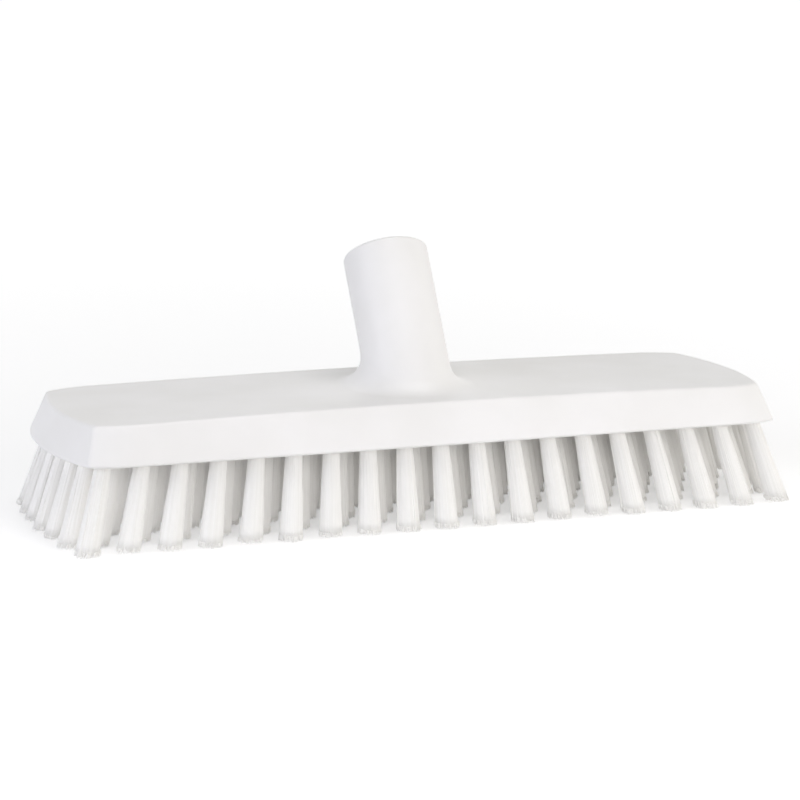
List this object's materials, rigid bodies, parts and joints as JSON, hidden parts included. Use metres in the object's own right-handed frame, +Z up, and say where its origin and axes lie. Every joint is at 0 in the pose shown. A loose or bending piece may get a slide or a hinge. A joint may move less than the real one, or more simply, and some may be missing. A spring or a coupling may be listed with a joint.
{
  "type": "scrub brush head",
  "caption": "White scrub brush head: a low moulded block with fanned bristle tufts underneath and a round threaded socket on top that leans back to take a long handle.",
  "frame": {"origin": "the middle of the brush, on the level of the tuft tips", "axes": "+X along the block, -Y the front that the picture shows, +Z up; the socket leans towards +Y"},
  "size_m": [0.3082, 0.1044, 0.1072],
  "materials": {
    "block": "white moulded polypropylene, satin",
    "bristles": "white polyester filament, slightly translucent",
    "staples": "stainless steel strip"
  },
  "bodies": {
    "root": {"brush_block": "block", "tuft_column_01": "bristles", "tuft_column_02": "bristles", "tuft_column_03": "bristles", "tuft_column_04": "bristles", "tuft_column_05": "bristles", "tuft_column_06": "bristles", "tuft_column_07": "bristles", "tuft_column_08": "bristles", "tuft_column_09": "bristles", "tuft_column_10": "bristles", "tuft_column_11": "bristles", "tuft_column_12": "bristles", "tuft_column_13": "bristles", "tuft_column_14": "bristles", "tuft_column_15": "bristles", "tuft_column_16": "bristles", "tuft_column_17": "bristles", "tuft_column_18": "bristles", "tuft_column_19": "bristles", "tuft_column_20": "bristles", "tuft_column_21": "bristles", "tuft_column_22": "bristles", "tuft_column_23": "bristles", "tuft_column_24": "bristles", "tuft_column_25": "bristles", "tuft_column_26": "bristles", "tuft_column_27": "bristles", "tuft_column_28": "bristles", "tuft_column_29": "bristles", "tuft_column_30": "bristles", "tuft_column_31": "bristles", "tuft_column_32": "bristles", "tuft_column_33": "bristles", "tuft_column_34": "bristles", "tuft_column_35": "bristles", "tuft_column_36": "bristles", "tuft_column_37": "bristles", "tuft_column_38": "bristles", "tuft_column_39": "bristles", "staple_row_1": "staples", "staple_row_2": "staples", "staple_row_3": "staples", "staple_row_4": "staples", "staple_row_5": "staples", "staple_row_6": "staples", "staple_row_7": "staples"}
  },
  "joints": []
}
